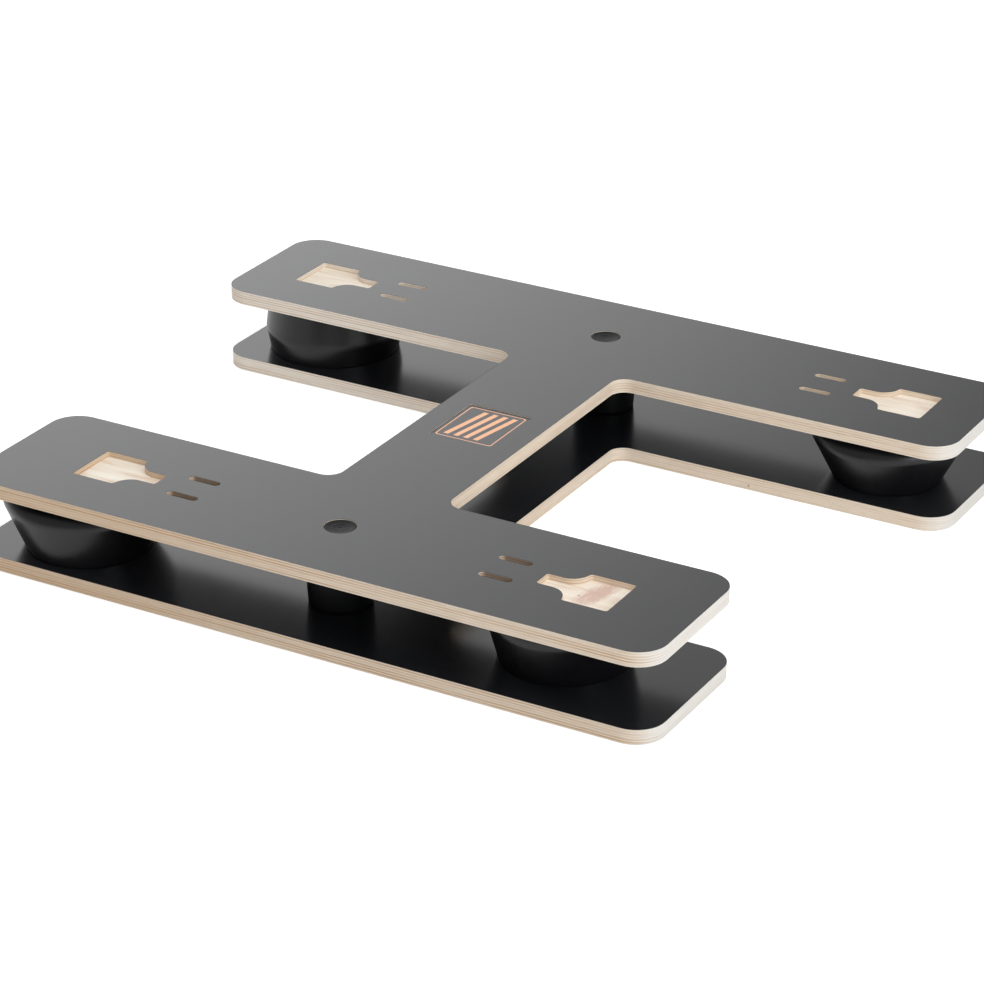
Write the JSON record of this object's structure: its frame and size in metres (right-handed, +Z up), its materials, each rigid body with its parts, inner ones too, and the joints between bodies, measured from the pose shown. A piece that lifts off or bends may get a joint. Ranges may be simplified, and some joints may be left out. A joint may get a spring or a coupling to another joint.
{
  "type": "bicycle trainer rocker plate",
  "caption": "H-shaped rocker plate for a bicycle turbo trainer: a plywood deck with foot pockets and strap slots rocks over a base on rubber buffers and air cushions.",
  "frame": {"origin": "centre of the plates' footprint, on the floor under the base", "axes": "+X along the cross bars to the right, +Y along the spine to the rear, longer bar, +Z up"},
  "size_m": [0.86, 0.717, 0.093],
  "materials": {
    "birch_plywood": "satin",
    "phenolic_film": "smooth satin",
    "buffer_rubber": "satin",
    "cushion_rubber": "glossy",
    "valve_rubber": "matte",
    "zinc_plated_steel": "zinc plated",
    "cap_plastic": "moulded, fine grain",
    "badge_laminate": "satin",
    "badge_inlay": "satin"
  },
  "bodies": {
    "base": {"base_core": "birch_plywood", "base_top_film": "phenolic_film", "base_underside_film": "phenolic_film", "front_buffer_rubber": "buffer_rubber", "front_buffer_lower_disc": "zinc_plated_steel", "front_base_bolt": "zinc_plated_steel", "front_base_washer": "zinc_plated_steel", "front_left_air_cushion": "cushion_rubber", "front_left_air_valve": "valve_rubber", "front_right_air_cushion": "cushion_rubber", "front_right_air_valve": "valve_rubber", "rear_buffer_rubber": "buffer_rubber", "rear_buffer_lower_disc": "zinc_plated_steel", "rear_base_bolt": "zinc_plated_steel", "rear_base_washer": "zinc_plated_steel", "rear_left_air_cushion": "cushion_rubber", "rear_left_air_valve": "valve_rubber", "rear_right_air_cushion": "cushion_rubber", "rear_right_air_valve": "valve_rubber"},
    "deck": {"deck_core": "birch_plywood", "deck_top_film": "phenolic_film", "deck_underside_film": "phenolic_film", "badge_plate": "badge_laminate", "badge_inlay": "badge_inlay", "front_buffer_upper_disc": "zinc_plated_steel", "front_deck_bolt": "zinc_plated_steel", "front_deck_washer": "zinc_plated_steel", "front_deck_cap": "cap_plastic", "rear_buffer_upper_disc": "zinc_plated_steel", "rear_deck_bolt": "zinc_plated_steel", "rear_deck_washer": "zinc_plated_steel", "rear_deck_cap": "cap_plastic"}
  },
  "joints": [
    {"name": "rock", "type": "hinge", "parent": "base", "child": "deck", "pos_m": [0, 0, 0.0465], "axis": [0, 1, 0], "range_deg": [-6, 6], "stiffness_Nm_per_rad": 600, "deforming": ["front_buffer_rubber", "front_left_air_cushion", "front_left_air_valve", "front_right_air_cushion", "front_right_air_valve", "rear_buffer_rubber", "rear_left_air_cushion", "rear_left_air_valve", "rear_right_air_cushion", "rear_right_air_valve"]}
  ]
}
